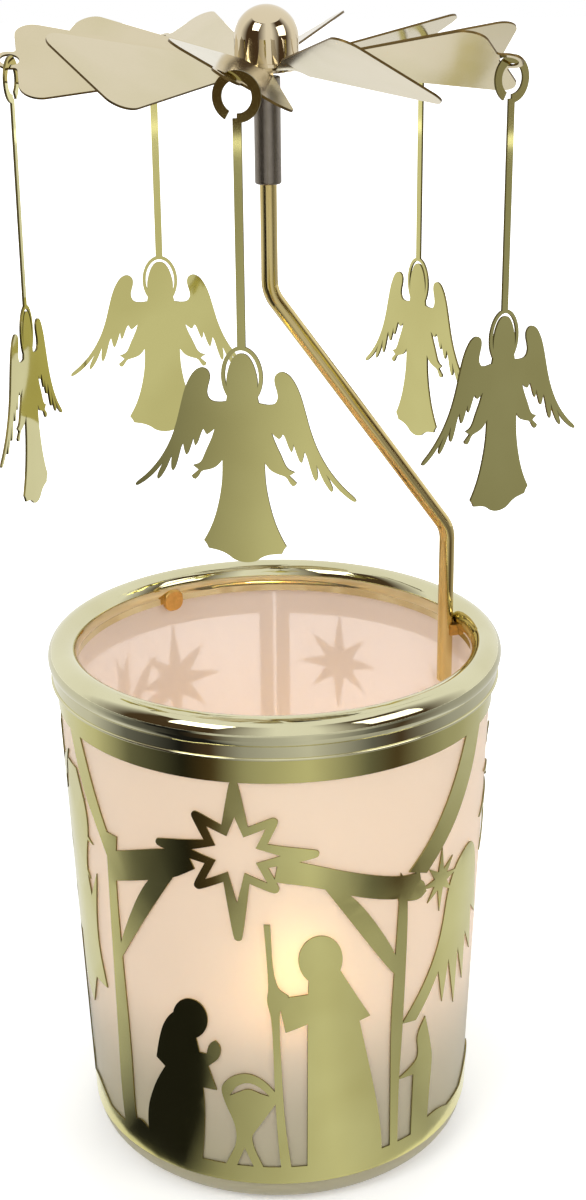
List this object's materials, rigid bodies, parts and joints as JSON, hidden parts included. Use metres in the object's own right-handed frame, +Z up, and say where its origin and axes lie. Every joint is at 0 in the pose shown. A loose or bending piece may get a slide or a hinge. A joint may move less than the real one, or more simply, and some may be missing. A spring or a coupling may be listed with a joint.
{
  "type": "angel chime carousel",
  "caption": "Candle glass in an etched metal wrap, with a bent rod that carries a heat-driven propeller hung with angel charms.",
  "frame": {"origin": "centre of the glass's foot, on the surface it stands on", "axes": "+Z up along the glass's axis, -Y towards the front of the nativity scene"},
  "size_m": [0.0772, 0.0748, 0.1666],
  "materials": {
    "frosted_glass": "frosted",
    "gold_plate": "polished",
    "smoky_sleeve": "glossy",
    "hardened_steel": "ground",
    "bearing_brass": "turned",
    "tealight_aluminium": "bright",
    "candle_wax": "waxy",
    "cotton_wick": "braided",
    "tinned_steel": "bright"
  },
  "bodies": {
    "stand": {"glass_tumbler": "frosted_glass", "nativity_wrap": "gold_plate", "rim_collar": "gold_plate", "collar_lug": "gold_plate", "rod_braze": "gold_plate", "support_rod": "gold_plate", "rod_sleeve": "smoky_sleeve", "pivot_needle": "hardened_steel"},
    "spinner": {"propeller": "gold_plate", "spinner_cap": "gold_plate", "bearing_cup": "bearing_brass", "hub_washer": "gold_plate"},
    "angel_1": {"angel_charm_1": "gold_plate"},
    "angel_2": {"angel_charm_2": "gold_plate"},
    "angel_3": {"angel_charm_3": "gold_plate"},
    "angel_4": {"angel_charm_4": "gold_plate"},
    "angel_5": {"angel_charm_5": "gold_plate"},
    "tealight": {"tealight_cup": "tealight_aluminium", "tealight_wax": "candle_wax", "tealight_wick": "cotton_wick", "wick_sustainer": "tinned_steel"}
  },
  "joints": [
    {"name": "carousel_spin", "type": "hinge", "parent": "stand", "child": "spinner", "pos_m": [0, 0, 0.16426], "axis": [0, 0, 1], "continuous": true},
    {"name": "angel_1_swing", "type": "hinge", "parent": "spinner", "child": "angel_1", "pos_m": [-0.00349, -0.03322, 0.15988], "axis": [-0.9563, 0.2924, 0], "range_deg": [-8, 20]},
    {"name": "angel_2_swing", "type": "hinge", "parent": "spinner", "child": "angel_2", "pos_m": [0.03052, -0.01359, 0.15988], "axis": [-0.788, -0.6157, 0], "range_deg": [-8, 20]},
    {"name": "angel_3_swing", "type": "hinge", "parent": "spinner", "child": "angel_3", "pos_m": [0.02235, 0.02483, 0.15988], "axis": [0.5, -0.866, 0], "range_deg": [-8, 20]},
    {"name": "angel_4_swing", "type": "hinge", "parent": "spinner", "child": "angel_4", "pos_m": [-0.0167, 0.02893, 0.15988], "axis": [1, 0, 0], "range_deg": [-8, 20]},
    {"name": "angel_5_swing", "type": "hinge", "parent": "spinner", "child": "angel_5", "pos_m": [-0.03268, -0.00695, 0.15988], "axis": [0.1736, 0.9848, 0], "range_deg": [-8, 20]},
    {"name": "tealight_lift", "type": "slide", "parent": "stand", "child": "tealight", "axis": [0, 0, 1], "range_m": [0, 0.06]}
  ]
}
